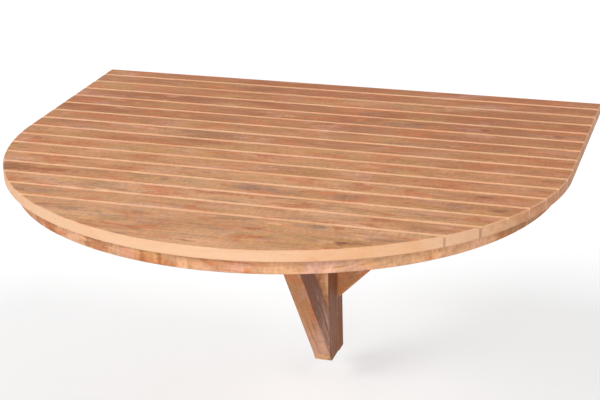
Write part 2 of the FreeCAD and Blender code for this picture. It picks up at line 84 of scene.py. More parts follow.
# ---- turns that bring each piece's grain onto X ----------------------------------
LENGTHWISE = (0.0, 0.0, 0.0)
CROSSWISE = (0.0, 0.0, math.pi / 2)
UPRIGHT = (0.0, math.pi / 2, 0.0)
RISING_RIGHT = (0.0, math.pi / 4, 0.0)
RISING_LEFT = (0.0, -math.pi / 4, 0.0)
STRUT_LEAN = math.radians(34.3)
LEANING = (-STRUT_LEAN, math.pi / 2, 0.0)

# ---- the grain of the wood -------------------------------------------------------
# Layers of noise: features to the metre along and across the grain, detail, roughness
# and distortion.
WANDER = (4.0, 14.0, 2.0, 0.5, 0.0)
BEND = (2.5, 26.0, 2.0, 0.5, 0.0)
LAYERS = {"cloud": (5.0, 18.0, 3.0, 0.6, 0.0), "blotch": (24.0, 85.0, 4.0, 0.65, 0.9),
          "mottle": (260.0, 130.0, 3.0, 0.6, 0.0), "streak": (8.0, 210.0, 4.0, 0.62, 0.0),
          "fibre": (40.0, 900.0, 2.0, 0.5, 0.0), "pores": (90.0, 1600.0, 1.0, 0.5, 0.0)}
SHIFT = 9.0                    # metres by which a board's pattern is shifted, at most
SWAY = 0.03                    # metres that the fibres wander from side to side
RING_TILT = 0.7                # slope of the growth rings through the board
RING_BEND = 0.05               # metres that the growth rings are bent

# How much each layer reddens or pales the wood, and the redness over which one tone turns
# into the next.
REDNESS = (("cloud", 1.8), ("blotch", 1.6), ("mottle", 0.6))
TO_GOLDEN = (-0.4, 0.45)
TO_RUSSET = (0.35, 1.35)

# Patches of colour in the figure: tone, offset of their noise, features to the metre along
# and across the grain, the noise at which they start, and strength.
FIGURE = (("olive", (5.3, 0.6, 2.2), (12.0, 46.0), 0.5, 0.55),
          ("rose", (1.2, 4.9, 3.3), (16.0, 60.0), 0.52, 0.5),
          ("ember", (2.7, 3.8, 0.9), (18.0, 60.0), 0.5, 0.75),
          ("ash", (3.1, 1.7, 0.4), (9.0, 44.0), 0.56, 0.5))
FIGURE_EDGE = 0.15             # how much more noise brings a patch to its full strength
# Detail, roughness and distortion of the noise of every patch.
FIGURE_NOISE = (3.0, 0.58, 0.6)

# Streaks, rings and fibres that tint the wood: rise, strength and tone. A rise is given
# here and below as the values at which something starts and is full.
TINTS = (("streak", (0.52, 0.8), 0.5, "russet"), ("rings", (-0.4, 1.0), 0.14, "umber"),
         ("fibre", (0.45, 0.8), 0.25, "russet"))
FLECKS = 0.85                  # light and dark of the mottle
PATCHES = 1.05                 # light and dark of the blotches

MARK_EDGE = (1.1, 0.4)         # rise of a mark, by distance from its middle in half sizes
FRAY_MIDDLE = 2.0              # what the layers that fray its rim add up to, on average
FRAY = 1.5                     # how much they fray it
MARK_DEPTH = 0.01              # half height of a mark on the deck, in metres
WHOLE = 1.0                    # half size of a mark that takes in the whole piece
SIDE_SHADE_SKIN = 0.0006             # half thickness of the painted shade on an upright's right side, in metres

# The paler faces of the deck that aren't level: partly saw-cut edges that took less oil,
# partly painted light where the low lights fall on them. A face's level is 1 when it is
# flat and 0 when it is upright.
PALE_EDGES = 0.9                # strength
PALE_LEVEL = (0.94, 0.78)       # rise, by the level of the face
SLOPE_LEVEL = (0.5, 0.65)      # rise of what a sloping face loses of that strength
SLOPE_LOSS = 0.3
PALE_CLOUD = (0.35, 0.75)       # rise from the cut tone to honey
PALE_STREAK = (0.5, 0.8)        # rise and strength of the streaks
PALE_STREAK_SIZE = 0.3
END_GRAIN_AND_SHADE = (0.84, 1.0)        # the same for the darker ends, partly end grain and partly painted shade, by how far a face looks along X
END_GRAIN_AND_SHADE_SIZE = 0.55
RIGHT_SHADE_FACING = (0.66, 0.9)      # the same for painted shade on the faces that look to the right, by how far they do
RIGHT_SHADE_PATCHES = (0.75, 1.3)     # rise of its patches
RIGHT_SHADE_SIZE = 0.6
SEAM_SHADE_EDGE = (1.0, 0.6)        # rise and strength of a dark line of painted shade in a seam, like that of a mark
SEAM_SHADE_DARK = 0.4

PORE_RELIEF = 0.7              # share of the pores in the relief
STREAK_RELIEF = 0.5            # share of the streaks in it
WOOD_RELIEF = 0.0003           # height of the relief, in metres
STREAK_SHEEN = 0.25            # how much the streaks change the roughness

# ---- the boards ------------------------------------------------------------------
# How red and dark each board is: 0 is golden, 1 is russet, counted from the wall. The
# boards darken from front to back partly as painted shade; the rest is each board's own tone.
SLAT_TONES = (1.0, 0.95, 0.8, 1.05, 1.0, 1.0, 0.75, 0.7, 0.6, 0.35, 0.35, 0.3, 0.3, -0.1, 0.0)
BOARD_TONE = 0.05
HOOP_TONES = {"hoop_left_corner": 0.8, "hoop_left_front": -0.1, "hoop_centre_left": 0.0,
              "hoop_centre_right": -0.1, "hoop_right_front": -0.3, "hoop_right_corner": -0.35}

# Turn and tone of each piece of the wall frame and of the gate.
WALL_PIECES = {"wall_rail": (LENGTHWISE, 0.6), "wall_post": (UPRIGHT, 1.0),
               "knee_brace_left": (RISING_LEFT, 0.5), "knee_brace_right": (RISING_RIGHT, 0.65)}
# The gate post's pale tone is partly painted light on its front face, under the deck.
GATE_PIECES = {"gate_post": (UPRIGHT, -0.4), "gate_top_rail": (CROSSWISE, 0.4),
               "gate_strut": (LEANING, 0.5)}
# The pieces that the deck hides and the dowels, and their tones.
RIBS = ("side_rail_left", "side_rail_right", "batten_left", "batten_centre", "batten_right")
RIB_TONE = 0.5
RAIL_TONE = 0.5
BEARER_TONE = 0.6
DOWEL_TONE = -0.6
# Seed of each group; the pieces of a group count on from it.
SEEDS = {"slats": 0, "wall_frame": 20, "gate": 30, "front_board": 41, "dowels": 50, "hoop": 60,
         "ribs": 80, "rails": 90, "bearer": 95}
# Tone and strength of the painted shade on the right side of each upright.
SHADED_SIDES = {"wall_post": ("heart_and_shade", 1.0), "gate_post": ("heart_and_shade", 0.9),
              "gate_strut": ("heart_and_shade", 0.95)}

# Marks on the slats, in metres: X, distance in front of the board's middle, half length,
# half width, tone and strength.
SLAT_MARKS = {
    "slat_01": ((0.0, 0.0, 0.11, 0.02, "russet", 0.55),),
    "slat_02": ((0.02, 0.0, 0.09, 0.02, "russet", 0.5),),
    "slat_04": ((-0.28, 0.0, 0.05, 0.02, "russet", 0.4),
                (0.11, 0.004, 0.06, 0.006, "russet", 0.4)),
    "slat_05": ((0.135, -0.003, 0.014, 0.005, "umber", 0.75),
                (0.12, 0.002, 0.04, 0.008, "ash", 0.5), (0.215, 0.001, 0.009, 0.003, "umber", 0.7),
                (0.262, 0.0, 0.024, 0.005, "ash", 0.6),
                (0.303, 0.003, 0.008, 0.005, "umber", 0.6)),
    "slat_06": ((-0.275, 0.0, 0.06, 0.014, "russet", 0.7),
                (0.17, 0.003, 0.03, 0.006, "russet", 0.5)),
    "slat_07": ((-0.2, 0.002, 0.07, 0.01, "russet", 0.35), (0.24, 0.004, 0.03, 0.006, "ash", 0.3)),
    "slat_08": ((-0.1, 0.0, 0.055, 0.02, "umber", 0.4),
                (0.235, 0.004, 0.012, 0.004, "russet", 0.6)),
    "slat_09": ((-0.11, -0.006, 0.04, 0.008, "russet", 0.6),
                (-0.21, 0.0, 0.06, 0.014, "russet", 0.4)),
    "slat_11": ((0.05, 0.0, 0.045, 0.012, "russet", 0.4),
                (-0.15, 0.003, 0.02, 0.006, "russet", 0.3)),
    "slat_12": ((0.255, -0.004, 0.009, 0.003, "umber", 0.6),
                (0.115, 0.003, 0.02, 0.007, "russet", 0.5),
                (0.25, 0.0, 0.035, 0.01, "russet", 0.4),
                (-0.06, -0.002, 0.008, 0.004, "umber", 0.3)),
    "slat_13": ((-0.285, 0.0, 0.04, 0.012, "heart_and_shade", 0.6), (-0.235, 0.0, 0.02, 0.01, "russet", 0.7),
                (-0.1, -0.004, 0.006, 0.005, "ash", 0.7), (0.0, -0.002, 0.02, 0.01, "ash", 0.75),
                (0.04, 0.004, 0.028, 0.007, "ash", 0.7), (0.115, 0.0, 0.02, 0.008, "ash", 0.6),
                (0.18, 0.002, 0.007, 0.005, "russet", 0.9),
                (0.278, 0.002, 0.014, 0.006, "umber", 0.7),
                (0.235, -0.002, 0.02, 0.007, "ash", 0.5)),
    "slat_14": ((0.222, 0.002, 0.024, 0.005, "umber", 0.35), (-0.16, 0.0, 0.04, 0.01, "ash", 0.3)),
    "slat_15": ((-0.253, 0.0, 0.014, 0.008, "heart_and_shade", 0.4), (-0.22, 0.0, 0.03, 0.01, "ash", 0.3),
                (0.21, 0.002, 0.03, 0.006, "umber", 0.35),
                (-0.06, 0.003, 0.01, 0.003, "umber", 0.3)),
}
# The right end of every slat, made redder and darker as painted shade.
RIGHT_END_SHADE = (0.29, 0.0, 0.16, 0.03, "russet", 0.3)
# Slats whose right front corner has a dark line of painted shade in the seam, and its half size.
SHADED_SEAMS = ("slat_14", "slat_15")
SEAM_SHADE_SIZE = (0.04, 0.0012, 0.1)
# Marks on the front board, given like those on the slats.
BOARD_MARKS = (
    (-0.17, -0.022, 0.04, 0.008, "ash", 0.6), (-0.02, -0.012, 0.022, 0.003, "umber", 0.2),
    (-0.06, 0.0, 0.025, 0.008, "russet", 0.3), (0.042, -0.0155, 0.011, 0.003, "russet", 0.7),
    (0.0615, -0.0325, 0.011, 0.003, "honey", 0.7), (0.064, 0.004, 0.02, 0.004, "russet", 0.35),
    (0.088, -0.034, 0.01, 0.004, "ash", 0.5), (0.1085, -0.0355, 0.014, 0.004, "ash", 0.9),
    (0.125, 0.0, 0.01, 0.008, "honey", 0.5), (0.16, -0.02, 0.02, 0.008, "honey", 0.5),
    (0.1417, 0.0015, 0.006, 0.006, "heart_and_shade", 0.8), (0.156, -0.003, 0.012, 0.0025, "heart_and_shade", 0.5),
    (0.178, -0.017, 0.02, 0.004, "umber", 0.35),
)
# Marks on the hoop: X, half width along X, tone and strength.
HOOP_MARKS = {
    "hoop_left_corner": ((-0.24, 0.02, "pink", 0.15), (-0.29, 0.02, "russet", 0.8)),
    "hoop_left_front": ((-0.189, 0.012, "russet", 0.75), (-0.155, 0.012, "pink", 0.5),
                        (-0.117, 0.017, "russet", 0.7), (-0.131, 0.004, "heart_and_shade", 0.4)),
    "hoop_centre_left": ((-0.061, 0.004, "heart_and_shade", 0.45), (-0.04, 0.003, "russet", 0.7),
                         (-0.08, 0.014, "pink", 0.4), (-0.014, 0.006, "honey", 0.9)),
    "hoop_centre_right": ((0.045, 0.018, "pink", 0.6), (0.085, 0.02, "honey", 0.7),
                          (0.118, 0.01, "pink", 0.9)),
    "hoop_right_front": ((0.134, 0.012, "pink", 0.9), (0.157, 0.014, "pink", 0.6),
                         (0.19, 0.012, "honey", 0.6), (0.214, 0.009, "honey", 0.8)),
    "hoop_right_corner": ((0.229, 0.003, "honey", 0.9), (0.25, 0.016, "honey", 0.45),
                          (0.266, 0.01, "pink", 0.5), (0.282, 0.005, "russet", 0.5),
                          (0.291, 0.004, "heart_and_shade", 0.45), (0.2985, 0.0035, "heart_and_shade", 0.6),
                          (0.3045, 0.003, "ash", 0.7), (0.3115, 0.004, "russet", 0.6)),
}
# The strut's paler foot: middle, half size, tone and strength.
GATE_MARKS = {"gate_strut": (((-0.019, -0.06, -0.3), (0.03, 0.08, 0.1), "pink", 0.7),
                             ((-0.019, -0.05, -0.34), (0.03, 0.03, 0.012), "ash", 0.6))}

# ---- hinges and screws -----------------------------------------------------------
# Layers of noise, as for the wood.
BRUSHED = (60.0, 3000.0, 2.0, 0.5, 0.0)
TARNISH = (90.0, 90.0, 4.0, 0.5, 0.0)
TARNISHED = (0.5, 0.8)         # rise of the tarnish
DULL = 0.6                     # brightness of the tarnished metal
SCRATCH_SHEEN = 0.18           # how much the scratches add to the roughness
METAL_RELIEF = 0.00004         # height of the scratches, in metres
STEEL_ROUGHNESS = 0.3
BRASS_ROUGHNESS = 0.28

# Half section of a countersunk screw, in radii of its head, and its recess.
FACE_RADIUS = 0.94
EDGE_DEPTH = 0.05
RIM_DEPTH = 0.09
CONE_DEPTH = 0.62
SHANK_RADIUS = 0.48
POINT_START = 0.8              # share of the screw's length above its point
RECESS_LENGTH = 1.15           # length of the cutter of a recess at its top
RECESS_TAPER = 0.35            # its length at the bottom, as a share of that
DOME = 0.4                     # height of a pin's domed end, in its radius
DOME_STEPS = (0, math.pi / 6, math.pi / 3)
SMOOTH_ANGLE = math.radians(35)
TINY = 1e-6                    # metres within which two points are one
DIGITS = 5                     # decimals of a metre to which screws are compared

# ---- the stage -------------------------------------------------------------------
FLOOR_SIZE = 30
FLOOR_SQUARES = 4
WHITE = (1, 1, 1, 1)
EYE = (0.5358, -1.8146, 0.6545)
EYE_YAW = math.radians(18.34)
EYE_PITCH = math.radians(21.79)
EYE_ROLL = math.radians(-1.60)
EYE_LENS = 89.97               # millimetres, like the width of the sensor
EYE_SENSOR = 36
NODE_SPACING = 180             # between the nodes of a material in its editor


def srgb(red, green, blue):
    """Linear colour of a shade given as 0 to 255 for each channel."""
    steps = [value / 255 for value in (red, green, blue)]
    return [step / 12.92 if step <= 0.04045 else ((step + 0.055) / 1.055) ** 2.4
            for step in steps]


def shade(label, words, rgb):
    """A colour property."""
    return FloatVectorProperty(name=label, description=words, subtype="COLOR", size=3, min=0,
                               max=1, default=srgb(*rgb))


def length(label, words, metres):
    """A length property in metres."""
    return FloatProperty(name=label, description=words, unit="LENGTH", subtype="DISTANCE", min=0,
                         precision=5, default=metres)


def amount(label, words, value):
    """A plain factor property."""
    return FloatProperty(name=label, description=words, subtype="FACTOR", min=0, max=10,
                         default=value)


def turned(label, words, degrees):
    """An angle property."""
    return FloatProperty(name=label, description=words, subtype="ANGLE",
                         default=math.radians(degrees))


class TeakSettings(bpy.types.PropertyGroup):
    honey: shade("Honey", "Lightest tone of the oiled faces", (220, 168, 126))
    golden: shade("Golden", "Main tone of the oiled faces", (197, 140, 95))
    russet: shade("Russet", "Redder tone of the darker boards", (158, 94, 56))
    umber: shade("Umber", "Darkest streaks and knots", (100, 60, 42))
    # Dark knots and streaks, and the painted shade on the right sides of the uprights.
    heart_and_shade: shade("Heartwood and shade", "Dark sides of the uprights", (130, 76, 48))
    ash: shade("Ash", "Greyed patches", (152, 114, 92))
    pink: shade("Pink", "Pinkish patches of the hoop", (214, 164, 140))
    rose: shade("Rose", "Pinkish patches of the figure", (212, 156, 134))
    ember: shade("Ember", "Orange red patches of the figure", (194, 116, 72))
    olive: shade("Olive", "Greenish gold patches of the figure", (190, 146, 88))
    # Pale tone of the deck's faces that aren't level: partly saw-cut edges, partly painted light.
    cut: shade("Cut edge", "Paler tone of the sawn edges of the deck", (222, 181, 147))
    ring_spacing: length("Ring spacing", "Distance between growth rings", 0.0046)
    roughness: amount("Roughness", "Roughness of the oiled surface", 0.52)
    gloss: amount("Gloss", "Specular level of the oiled surface", 0.15)


class HardwareSettings(bpy.types.PropertyGroup):
    brass: shade("Brass", "Hinge plates and pins", (196, 158, 96))
    steel: shade("Steel", "Screws", (176, 174, 170))
    recess_width: length("Recess width", "Width of each arm of a screw's cross recess", 0.0009)
    recess_depth: length("Recess depth", "Depth of the cross recess", 0.0012)
    sides: IntProperty(name="Sides", description="Faces round a screw or pin", min=8, max=64,
                       default=24)


class StageSettings(bpy.types.PropertyGroup):
    floor_drop: length("Floor drop", "Floor below the wall rail's holes", 0.36)
    paper: shade("Paper", "Floor", (210, 210, 210))
    lift: amount("Lift", "White added to the floor where it is seen", 0.42)
    key: amount("Key light", "Strength of the light from the left", 1.9)
    key_turn: turned("Key turn", "Key light, round from the front; left is negative", -42)
    key_height: turned("Key height", "Key light above the level", 36)
    fill: amount("Fill light", "Strength of the low light from the front", 1.4)
    fill_turn: turned("Fill turn", "Fill light, round from the front", 16)
    fill_height: turned("Fill height", "Fill light above the level", 12)
    side: amount("Side light", "Strength of the high light from the right", 1.0)
    side_turn: turned("Side turn", "Side light, round from the front", 62)
    side_height: turned("Side height", "Side light above the level", 46)
    softness: turned("Softness", "Apparent width of each light", 26)
    room: amount("Room light", "Strength of the even light from all round", 0.33)


# ---- node trees ------------------------------------------------------------------
class Tree:
    """A new material's node tree, with one short call for each node it needs."""

    def __init__(self, owner):
        owner.use_nodes = True
        self.owner = owner
        self.tree = owner.node_tree
        self.tree.nodes.clear()
        self.x = 0

    def add(self, kind, sockets, **settings):
        made = self.tree.nodes.new("ShaderNode" + kind)
        self.x += NODE_SPACING
        made.location = (self.x, 0)
        for setting, value in settings.items():
            setattr(made, setting, value)
        for socket, value in sockets.items():
            if isinstance(value, bpy.types.NodeSocket):
                self.tree.links.new(value, made.inputs[socket])
            else:
                made.inputs[socket].default_value = value
        return made

    def maths(self, operation, *values):
        return self.add("Math", dict(enumerate(values)), operation=operation).outputs[0]

    def vector(self, operation, *values):
        return self.add("VectorMath", dict(enumerate(values)), operation=operation).outputs[0]

    def distance(self, place, middle, half):
        """Distance of place from middle, in units of half on each axis."""
        offset = self.vector("SUBTRACT", place, middle)
        scaled = self.vector("DIVIDE", offset, half)
        return self.add("VectorMath", {0: scaled}, operation="LENGTH").outputs["Value"]

    def noise(self, place, along, across, detail, roughness, distortion):
        """Noise from 0 to 1 with so many features to the metre along X and across it."""
        scaled = self.vector("MULTIPLY", place, (along, across, across))
        sockets = {"Vector": scaled, "Scale": 1.0, "Detail": detail, "Roughness": roughness,
                   "Distortion": distortion}
        return self.add("TexNoise", sockets).outputs[0]

    def swing(self, noise, size):
        """Noise moved to swing to both sides of 0, and scaled."""
        return self.maths("MULTIPLY", self.maths("SUBTRACT", noise, 0.5), size)

    def between(self, value, low, high):
        """0 at low, 1 at high, smooth between and level beyond."""
        sockets = {"Value": value, "From Min": low, "From Max": high}
        return self.add("MapRange", sockets, interpolation_type="SMOOTHSTEP").outputs[0]

    def mix(self, factor, first, second):
        """First where factor is 0, second where it is 1; the numbers are the node's sockets."""
        sockets = {0: factor, 6: first, 7: second}
        return self.add("Mix", sockets, data_type="RGBA").outputs[2]

    def seen(self):
        """1 for what the camera, a reflection or a view through glass sees, else 0."""
        path = self.add("LightPath", {})
        through = self.maths("MAXIMUM", path.outputs["Is Glossy Ray"],
                             path.outputs["Is Transmission Ray"])
        return self.maths("MAXIMUM", path.outputs["Is Camera Ray"], through)

    def finish(self, colour, roughness, height, distance, **fixed):
        """Principled surface with a bump; fixed values go on the shader's own sockets."""
        bump = self.add("Bump", {"Height": height, "Strength": 1.0, "Distance": distance})
        sockets = {"Base Color": colour, "Roughness": roughness, "Normal": bump.outputs[0]}
        surface = self.add("BsdfPrincipled", {**sockets, **fixed})
        self.add("OutputMaterial", {"Surface": surface.outputs[0]})
        return self.owner


def opaque(colour):
    """A colour property as the four values that a socket takes."""
    return (*colour, 1.0)


def tint(tree, colour, value, rise, strength, kind):
    """Colour with a tone of the teak mixed in where the value goes through its rise."""
    factor = tree.maths("MULTIPLY", tree.between(value, *rise), strength)
    return tree.mix(factor, colour, opaque(getattr(bpy.context.scene.teak, kind)))


def growth_rings(tree, place):
    """A wave from -1 to 1 for the growth rings."""
    split = tree.add("SeparateXYZ", {"Vector": place}).outputs
    outward = tree.maths("ADD", split["Y"], tree.maths("MULTIPLY", split["Z"], RING_TILT))
    bend = tree.maths("MULTIPLY", tree.noise(place, *BEND), RING_BEND)
    waved = tree.maths("ADD", outward, bend)
    spacing = bpy.context.scene.teak.ring_spacing
    return tree.maths("SINE", tree.maths("DIVIDE", waved, spacing / math.tau))


def oiled(tree, place, layers, tone):
    """Colour of the oiled faces, before marks."""
    look = bpy.context.scene.teak
    redness = tone
    for layer, size in REDNESS:
        redness = tree.maths("ADD", redness, tree.swing(layers[layer], size))
    colour = tree.mix(tree.between(redness, *TO_GOLDEN), opaque(look.honey), opaque(look.golden))
    colour = tree.mix(tree.between(redness, *TO_RUSSET), colour, opaque(look.russet))
    for kind, offset, (along, across), start, strength in FIGURE:
        patch = tree.noise(tree.vector("ADD", place, offset), along, across, *FIGURE_NOISE)
        colour = tint(tree, colour, patch, (start, start + FIGURE_EDGE), strength, kind)
    for layer, rise, strength, kind in TINTS:
        colour = tint(tree, colour, layers[layer], rise, strength, kind)
    return colour


def marked(tree, spot, layers, colour, marks):
    """Colour with knots, stains and flushes, and with marks of painted shade, with frayed rims and
    fibres through them.
    """
    streak = layers["streak"]
    coarse = tree.maths("ADD", layers["blotch"], streak)
    ragged = tree.maths("ADD", coarse, tree.maths("ADD", streak, layers["fibre"]))
    fray = tree.maths("MULTIPLY", tree.maths("SUBTRACT", ragged, FRAY_MIDDLE), FRAY)
    for middle, half, kind, strength in marks:
        reach = tree.maths("ADD", tree.distance(spot, middle, half), fray)
        colour = tint(tree, colour, reach, MARK_EDGE, strength, kind)
    return colour


def edged(tree, where, layers, colour, cut_edges, joints):
    """Colour with paler faces where they aren't level, partly saw-cut edges and partly
    painted light; darker ends, partly end grain and partly painted shade; painted shade on
    the faces that look to the right; and dark lines of painted shade in the seams.
    """
    look = bpy.context.scene.teak
    facing = tree.add("SeparateXYZ", {"Vector": where["Normal"]}).outputs
    level = tree.maths("ABSOLUTE", facing["Z"])
    # Paler faces that aren't level: partly saw-cut edges, partly painted light.
    sloped = tree.maths("MULTIPLY", tree.between(level, *SLOPE_LEVEL), SLOPE_LOSS)
    strength = tree.maths("SUBTRACT", cut_edges, sloped)
    pale_share = tree.maths("MULTIPLY", tree.between(level, *PALE_LEVEL), strength)
    paled = tree.between(layers["cloud"], *PALE_CLOUD)
    sawn_and_lit = tree.mix(paled, opaque(look.cut), opaque(look.honey))
    sawn_and_lit = tint(tree, sawn_and_lit, layers["streak"], PALE_STREAK, PALE_STREAK_SIZE, "golden")
    # Darker ends: partly end grain, partly painted shade.
    endways = tree.maths("ABSOLUTE", facing["X"])
    sawn_and_lit = tint(tree, sawn_and_lit, endways, END_GRAIN_AND_SHADE, END_GRAIN_AND_SHADE_SIZE, "russet")
    # Painted shade, in patches, on the faces that look to the right.
    patchy = tree.between(tree.maths("ADD", layers["blotch"], layers["cloud"]), *RIGHT_SHADE_PATCHES)
    right_shade = tree.maths("MULTIPLY", tree.between(facing["X"], *RIGHT_SHADE_FACING), patchy)
    sawn_and_lit = tree.mix(tree.maths("MULTIPLY", right_shade, RIGHT_SHADE_SIZE), sawn_and_lit, opaque(look.russet))
    colour = tree.mix(pale_share, colour, sawn_and_lit)
    # Dark lines of painted shade in the seams.
    for middle, half in joints:
        reach = tree.distance(where["Object"], middle, half)
        colour = tint(tree, colour, reach, SEAM_SHADE_EDGE, SEAM_SHADE_DARK, "umber")
    return colour


def teak(name, turn, seed, tone, cut_edges=0.0, marks=(), joints=()):
    """Oiled teak. turn brings the grain onto X, seed picks the board, tone goes from
    golden to russet, cut_edges pales the faces that aren't level, partly as painted light,
    marks are (middle, half size, tone, strength), and joints are (middle, half size) of
    dark lines of painted shade on the rim."""
    look = bpy.context.scene.teak
    tree = Tree(bpy.data.materials.new(name))
    where = tree.add("TexCoord", {}).outputs
    spot = where["Object"]
    grained = tree.add("Mapping", {"Vector": spot, "Rotation": turn}).outputs[0]
    draw = random.Random(seed)
    place = tree.vector("ADD", grained, [draw.uniform(-SHIFT, SHIFT) for _ in range(3)])
    sway = tree.swing(tree.noise(place, *WANDER), SWAY)
    place = tree.vector("ADD", place, tree.add("CombineXYZ", {"Y": sway, "Z": sway}).outputs[0])

    layers = {layer: tree.noise(place, *values) for layer, values in LAYERS.items()}
    layers["rings"] = growth_rings(tree, place)
    colour = oiled(tree, place, layers, tone)
    colour = marked(tree, spot, layers, colour, marks)
    flecks = tree.swing(layers["mottle"], FLECKS)
    patches = tree.swing(layers["blotch"], PATCHES)
    bright = tree.maths("ADD", tree.maths("ADD", flecks, patches), 1.0)
    colour = tree.add("VectorMath", {0: colour, "Scale": bright}, operation="SCALE").outputs[0]
    # Paler upright faces, partly painted light, and painted shade on the ends, right faces and
    # seams.
    if cut_edges:
        colour = edged(tree, where, layers, colour, cut_edges, joints)

    pores = tree.maths("MULTIPLY", layers["pores"], PORE_RELIEF)
    streaks = tree.maths("MULTIPLY", layers["streak"], STREAK_RELIEF)
    height = tree.maths("ADD", pores, streaks)
    rough = tree.maths("ADD", look.roughness, tree.swing(layers["streak"], STREAK_SHEEN))
    return tree.finish(colour, rough, height, WOOD_RELIEF, **{"Specular IOR Level": look.gloss})


def metal(name, colour, rough):
    """Brushed metal with fine scratches and faint tarnish."""
    tree = Tree(bpy.data.materials.new(name))
    place = tree.add("TexCoord", {}).outputs["Object"]
    brushed = tree.noise(place, *BRUSHED)
    tarnish = tree.noise(place, *TARNISH)
    dull = opaque([channel * DULL for channel in colour])
    tone = tree.mix(tree.between(tarnish, *TARNISHED), opaque(colour), dull)
    roughness = tree.maths("ADD", rough, tree.maths("MULTIPLY", brushed, SCRATCH_SHEEN))
    return tree.finish(tone, roughness, brushed, METAL_RELIEF, Metallic=1.0)


def dress(names, material):
    """Give CAD nodes a finish through their material slots."""
    for name in names:
        piece = NODES[name]
        for held in piece.material_slots:
            held.material = material


def board(name, turn, seed, tone, **more):
    """Finish one node as a board of its own."""
    dress([name], teak("teak_" + name, turn, seed, tone, **more))


def board_marks(name, marks):
    """Marks on top of a deck board, as middle, half size, tone and strength."""
    low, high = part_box(name)
    middle_y = (low.y + high.y) / 2
    return [((x, middle_y - ahead, high.z), (half_long, half_wide, MARK_DEPTH), kind, strength)
            for x, ahead, half_long, half_wide, kind, strength in marks]


def seam_shade(name):
    """The dark line of painted shade at the right front corner of a slat that has one."""
    if name not in SHADED_SEAMS:
        return ()
    low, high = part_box(name)
    return (((high.x, low.y, (low.z + high.z) / 2), SEAM_SHADE_SIZE),)


def shaded_side(name):
    """The painted shade over the right side of an upright that has it, as a mark."""
    if name not in SHADED_SIDES:
        return ()
    low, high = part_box(name)
    middle = (high.x, (low.y + high.y) / 2, (low.z + high.z) / 2)
    return ((middle, (SIDE_SHADE_SKIN, WHOLE, WHOLE), *SHADED_SIDES[name]),)


# ---- modelling helpers -----------------------------------------------------------
def longest(spans):
    """The axis, 0 to 2, along which a box is longest."""
    return max(range(3), key=lambda axis: spans[axis])


def along_axis(axis, size):
    """A vector along one axis."""
    made = Vector((0, 0, 0))
    made[axis] = size
    return made


def stood(place, direction):
    """The matrix that brings a piece's origin to a place and its Z onto a direction."""
    turn = direction.to_track_quat("Z", "X").to_matrix().to_4x4()
    return Matrix.Translation(place) @ turn


def deselect():
    for thing in bpy.context.view_layer.objects:
        thing.select_set(False)


def spun(name, profile, sides):
    """A closed solid made by spinning a profile of (radius, z) once round Z."""
    deselect()
    bpy.ops.mesh.primitive_plane_add(size=1, location=(0, 0, 0))
    piece = bpy.context.object
    piece.name = name
    mesh = bmesh.new()
    points = [mesh.verts.new((radius, 0, z)) for radius, z in profile]
    for first, second in zip(points, points[1:]):
        mesh.edges.new((first, second))
    mesh.to_mesh(piece.data)
    mesh.free()
    bpy.ops.object.mode_set(mode="EDIT")
    bpy.ops.mesh.select_all(action="SELECT")
    bpy.ops.mesh.spin(steps=sides, angle=math.tau, center=(0, 0, 0), axis=(0, 0, 1))
    bpy.ops.mesh.select_all(action="SELECT")
    bpy.ops.mesh.remove_doubles(threshold=TINY)
    bpy.ops.mesh.normals_make_consistent(inside=False)
    bpy.ops.object.mode_set(mode="OBJECT")
    return piece


def islands(node):
    """The points of each separate solid of a CAD node, the solids in order of place."""
    mesh = bmesh.new()
    mesh.from_mesh(NODES[node].data)
    bmesh.ops.remove_doubles(mesh, verts=mesh.verts, dist=TINY)
    left = set(mesh.verts)
    found = []
    while left:
        edge = [left.pop()]
        solid = []
        while edge:
            vertex = edge.pop()
            solid.append(vertex.co.copy())
            near = {link.other_vert(vertex) for link in vertex.link_edges} & left
            left -= near
            edge.extend(near)
        found.append(solid)
    mesh.free()
    return sorted(found, key=lambda solid: min(point[:] for point in solid))


def screw_place(points):
    """Head middle, direction into the wood, head radius and length of a CAD screw."""
    low = Vector(min(point[axis] for point in points) for axis in range(3))
    high = Vector(max(point[axis] for point in points) for axis in range(3))
    spans = high - low
    along = longest(spans)
    across = next(axis for axis in range(3) if axis != along)
    middle = (low + high) / 2
    radii = {}
    for end, level in ((-1, low[along]), (1, high[along])):
        ring = [point for point in points if abs(point[along] - level) < TINY]
        radii[end] = max((point - middle).length for point in ring)
    head_end = max(radii, key=radii.get)
    head = middle.copy()
    head[along] = high[along] if head_end > 0 else low[along]
    return head, along_axis(along, -head_end), spans[across] / 2, spans[along]


def copies(source, name, places):
    """A new piece whose one mesh holds a copy of source at each place, a matrix."""
    mesh = bmesh.new()
    for place in places:
        part = bmesh.new()
        part.from_mesh(source.data)
        part.transform(place)
        loose = bpy.data.meshes.new("part")
        part.to_mesh(loose)
        mesh.from_mesh(loose)
        part.free()
        bpy.data.meshes.remove(loose)
    data = bpy.data.meshes.new(name)
    mesh.to_mesh(data)
    mesh.free()
    made = bpy.data.objects.new(name, data)
    bpy.context.scene.collection.objects.link(made)
    return made


def remove(piece):
    bpy.data.objects.remove(piece, do_unlink=True)


def screw_profile(head_radius, size):
    """Half section of a countersunk screw, head on z = 0 and point at -size."""
    shank_radius = head_radius * SHANK_RADIUS
    return [(0, 0), (head_radius * FACE_RADIUS, 0), (head_radius, -head_radius * EDGE_DEPTH),
            (head_radius, -head_radius * RIM_DEPTH), (shank_radius, -head_radius * CONE_DEPTH),
            (shank_radius, -size * POINT_START), (0, -size)]


def pin_profile(radius, half):
    """Half section of a pin with domed ends, from z = -half to half."""
    dome = radius * DOME
    rim = [(radius * math.cos(step), half - dome + dome * math.sin(step)) for step in DOME_STEPS]
    return [(0, -half), *[(out, -z) for out, z in reversed(rim)], *rim, (0, half)]


